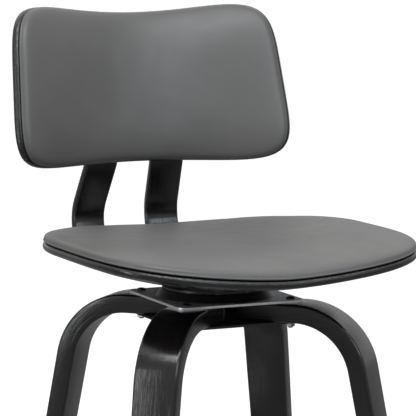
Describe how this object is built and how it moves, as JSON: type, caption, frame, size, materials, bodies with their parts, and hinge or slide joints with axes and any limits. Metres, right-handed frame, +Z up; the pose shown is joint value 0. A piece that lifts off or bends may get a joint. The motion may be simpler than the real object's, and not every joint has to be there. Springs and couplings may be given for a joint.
{
  "type": "drafting chair",
  "caption": "Counter-height swivel chair with a dished padded seat, a low curved padded back on two bent strips, four bent wooden legs and a foot ring.",
  "frame": {"origin": "on the floor, at the middle of the chair's footprint in plan", "axes": "+Z up, -Y is the chair's front with the seat facing forward, +X is the sitter's left"},
  "size_m": [0.4883, 0.5645, 0.9624],
  "materials": {
    "black_bentwood": "black lacquer over visible grain, semi-gloss",
    "grey_leather": "smooth faux leather, low sheen",
    "black_steel": "black powder coat, semi-gloss",
    "bright_steel": "bright zinc plate",
    "chrome": "polished chrome plate",
    "plywood": "bare plywood",
    "black_nylon": "matte nylon"
  },
  "bodies": {
    "base": {"front_left_leg": "black_bentwood", "front_right_leg": "black_bentwood", "rear_left_leg": "black_bentwood", "rear_right_leg": "black_bentwood", "front_left_glide": "black_nylon", "front_right_glide": "black_nylon", "rear_left_glide": "black_nylon", "rear_right_glide": "black_nylon", "glide_screws": "bright_steel", "foot_ring": "chrome", "foot_ring_bolts": "black_steel", "swivel_base_plate": "bright_steel", "lower_leg_plate": "black_steel", "leg_bolts": "black_steel", "leg_bolt_nuts": "bright_steel", "leg_screws": "bright_steel", "swivel_housing": "black_steel", "king_pin": "bright_steel", "lower_race": "bright_steel"},
    "ball_ring": {"ball_cage": "black_nylon", "bearing_balls": "chrome"},
    "seat": {"upper_race": "bright_steel", "swivel_top_disc": "black_steel", "mounting_block": "black_bentwood", "disc_screws": "bright_steel", "seat_shell": "black_bentwood", "seat_tee_nuts": "bright_steel", "seat_pad_board": "plywood", "seat_pad": "grey_leather", "left_back_support": "black_bentwood", "right_back_support": "black_bentwood", "seat_bolts": "black_steel", "back_bolts": "black_steel", "back_shell": "black_bentwood", "back_tee_nuts": "bright_steel", "back_pad_board": "plywood", "back_pad": "grey_leather"}
  },
  "joints": [
    {"name": "seat_swivel", "type": "hinge", "parent": "base", "child": "seat", "pos_m": [0, -0.03682, 0.605], "axis": [0, 0, 1], "continuous": true},
    {"name": "ball_ring_spin", "type": "hinge", "parent": "base", "child": "ball_ring", "pos_m": [0, -0.03682, 0.59675], "axis": [0, 0, 1], "continuous": true}
  ],
  "couplings": [
    {"joint": "ball_ring_spin", "follows": "seat_swivel", "ratio": 0.5}
  ]
}
